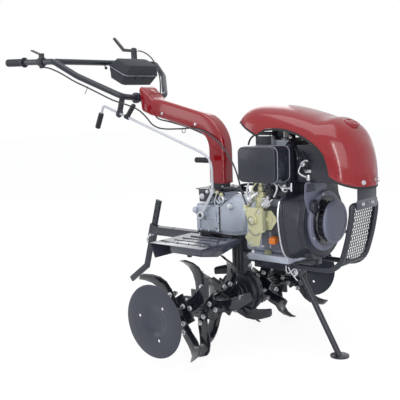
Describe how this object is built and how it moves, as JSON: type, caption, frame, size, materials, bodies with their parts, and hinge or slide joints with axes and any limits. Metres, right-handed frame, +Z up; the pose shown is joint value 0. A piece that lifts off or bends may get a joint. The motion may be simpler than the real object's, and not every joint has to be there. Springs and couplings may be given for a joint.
{
  "type": "rotary tiller",
  "caption": "Walk-behind rotary tiller: tined rotor under a gearbox, direct-coupled engine under a hood, bent handle column with handlebar, toolbox, depth bar and front stand.",
  "frame": {"origin": "on the ground under the middle of the machine's length and width", "axes": "+X forward (towards the engine and guard), +Y to the operator's left, +Z up"},
  "size_m": [1.7798, 1.1066, 1.4046],
  "materials": {
    "red_paint": "gloss",
    "black_paint": "satin",
    "gloss_black": "gloss",
    "disc_paint": "satin",
    "final_paint": "satin",
    "cast_aluminium": "satin",
    "yellow_zinc": "satin",
    "bright_steel": "satin",
    "pump_steel": "satin",
    "starter_grey": "satin",
    "box_plastic": "matte",
    "black_rubber": "matte"
  },
  "bodies": {
    "chassis": {"air_cleaner": "black_paint", "bell_housing": "cast_aluminium", "clutch_cable": "black_rubber", "clutch_lever": "box_plastic", "column_collar": "black_paint", "column_head": "red_paint", "crossbar": "black_paint", "cylinder": "cast_aluminium", "drawbar": "black_paint", "engine_block": "cast_aluminium", "engine_foot": "cast_aluminium", "exhaust_box": "black_paint", "fan_shroud": "black_paint", "fender_left": "black_paint", "fender_right": "black_paint", "fender_stay": "black_paint", "final_drive": "final_paint", "frame": "black_paint", "fuel_tank": "black_paint", "gearbox": "cast_aluminium", "governor_plate": "yellow_zinc", "guard_frame": "black_paint", "guard_mesh": "black_paint", "hand_grip_left": "black_rubber", "hand_grip_right": "black_rubber", "handle_arm_left": "black_paint", "handle_arm_right": "black_paint", "handle_column": "red_paint", "handle_hub": "black_paint", "hood": "red_paint", "hood_bracket": "black_paint", "hood_edging": "black_rubber", "injection_pump": "pump_steel", "lamp_plate": "black_paint", "recoil_starter": "starter_grey", "rod_guide": "black_paint", "shift_crank": "black_paint", "shift_grips": "black_rubber", "shift_rod": "bright_steel", "throttle_cable": "black_rubber", "throttle_lever": "box_plastic", "toolbox_tub": "box_plastic"},
    "rotor": {"rotor_axle": "bright_steel", "tine_reel_left": "gloss_black", "tine_reel_right": "gloss_black", "side_disc_left": "disc_paint", "side_disc_right": "disc_paint"},
    "front_stand": {"front_stand": "black_paint"},
    "toolbox_lid": {"toolbox_lid": "box_plastic"},
    "depth_bar": {"depth_bar": "black_paint"}
  },
  "joints": [
    {"name": "rotor_spin", "type": "hinge", "parent": "chassis", "child": "rotor", "pos_m": [0.24834, 0, 0.19828], "axis": [0, 1, 0], "continuous": true},
    {"name": "stand_fold", "type": "hinge", "parent": "chassis", "child": "front_stand", "pos_m": [0.55434, 0, 0.32528], "axis": [0, -1, 0], "range_deg": [0, 50]},
    {"name": "toolbox_lid_hinge", "type": "hinge", "parent": "chassis", "child": "toolbox_lid", "pos_m": [-0.52967, 0.098, 1.22928], "axis": [0, -1, 0], "range_deg": [0, 65]},
    {"name": "depth_bar_slide", "type": "slide", "parent": "chassis", "child": "depth_bar", "axis": [0.2924, 0, 0.9563], "range_m": [-0.1, 0.054]}
  ]
}
